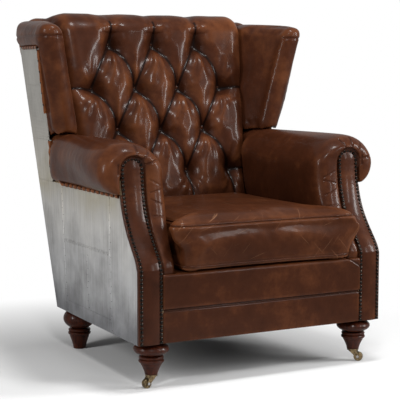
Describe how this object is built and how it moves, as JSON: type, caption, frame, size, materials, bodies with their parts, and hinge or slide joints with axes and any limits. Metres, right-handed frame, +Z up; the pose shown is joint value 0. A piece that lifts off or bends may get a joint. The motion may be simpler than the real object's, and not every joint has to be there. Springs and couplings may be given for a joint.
{
  "type": "wingback armchair",
  "caption": "Wingback club armchair with a deep-tufted back, rolled arms, loose seat cushion, sheet-metal sides and front casters.",
  "frame": {"origin": "floor level, under the middle of the chair's bounding box", "axes": "+X to the right as seen from the front, +Y to the back of the chair, +Z up; left and right are as seen from the front"},
  "size_m": [0.9412, 0.903, 1.07],
  "materials": {
    "leather_dark": "waxed antique leather, dark chocolate brown",
    "leather_warm": "waxed antique leather, rubbed to a warm chestnut",
    "metal_sheet": "brushed, aged sheet",
    "nail_bronze": "black-bronze nail heads",
    "frame_wood": "sawn beech",
    "leg_wood": "dark mahogany, gloss",
    "steel": "plain",
    "caster_brass": "antique brass",
    "deck_cloth": "black woven lining"
  },
  "bodies": {
    "frame": {"corner_blocks": "frame_wood", "seat_rail_front": "frame_wood", "seat_rail_back": "frame_wood", "seat_rail_left": "frame_wood", "seat_rail_right": "frame_wood", "arm_post_left": "frame_wood", "arm_post_right": "frame_wood", "arm_rail_left": "frame_wood", "arm_rail_right": "frame_wood", "back_post_left": "frame_wood", "back_post_right": "frame_wood", "back_rail_top": "frame_wood", "back_rail_lower": "frame_wood", "wing_board_left": "frame_wood", "wing_board_right": "frame_wood", "seat_springs": "steel", "spring_clips": "steel", "back_webbing": "deck_cloth", "seat_insulator": "deck_cloth", "seat_deck": "deck_cloth", "dust_cover": "deck_cloth", "border_lower": "leather_warm", "border_upper": "leather_warm", "back_pad": "leather_dark", "back_buttons": "leather_dark", "top_roll": "leather_dark", "wing_pad_left": "leather_warm", "wing_pad_right": "leather_warm", "arm_pad_left": "leather_dark", "arm_pad_right": "leather_dark", "arm_ring_left": "leather_dark", "arm_ring_right": "leather_dark", "arm_strip_left": "leather_dark", "arm_strip_right": "leather_dark", "arm_nails_left": "nail_bronze", "arm_nails_right": "nail_bronze", "side_panel_left": "metal_sheet", "side_panel_right": "metal_sheet", "wing_panel_left": "metal_sheet", "wing_panel_right": "metal_sheet", "back_panel": "metal_sheet", "front_leg_left": "leg_wood", "front_leg_right": "leg_wood", "rear_leg_left": "leg_wood", "rear_leg_right": "leg_wood", "hanger_bolts": "steel", "caster_socket_left": "caster_brass", "caster_socket_right": "caster_brass"},
    "cushion": {"seat_cushion": "leather_warm"},
    "fork_left": {"caster_fork_left": "caster_brass", "caster_axle_left": "steel"},
    "fork_right": {"caster_fork_right": "caster_brass", "caster_axle_right": "steel"},
    "wheel_left": {"caster_wheel_left": "caster_brass"},
    "wheel_right": {"caster_wheel_right": "caster_brass"}
  },
  "joints": [
    {"name": "cushion_slide", "type": "slide", "parent": "frame", "child": "cushion", "axis": [0, -1, 0], "range_m": [0, 0.55]},
    {"name": "caster_swivel_left", "type": "hinge", "parent": "frame", "child": "fork_left", "pos_m": [-0.344, -0.37545, 0.05], "axis": [0, 0, 1], "continuous": true},
    {"name": "caster_roll_left", "type": "hinge", "parent": "fork_left", "child": "wheel_left", "pos_m": [-0.3605, -0.37956, 0.014], "axis": [0.2419, -0.9703, 0], "continuous": true},
    {"name": "caster_swivel_right", "type": "hinge", "parent": "frame", "child": "fork_right", "pos_m": [0.344, -0.37545, 0.05], "axis": [0, 0, 1], "continuous": true},
    {"name": "caster_roll_right", "type": "hinge", "parent": "fork_right", "child": "wheel_right", "pos_m": [0.35581, -0.38768, 0.014], "axis": [0.7193, 0.6947, 0], "continuous": true}
  ]
}
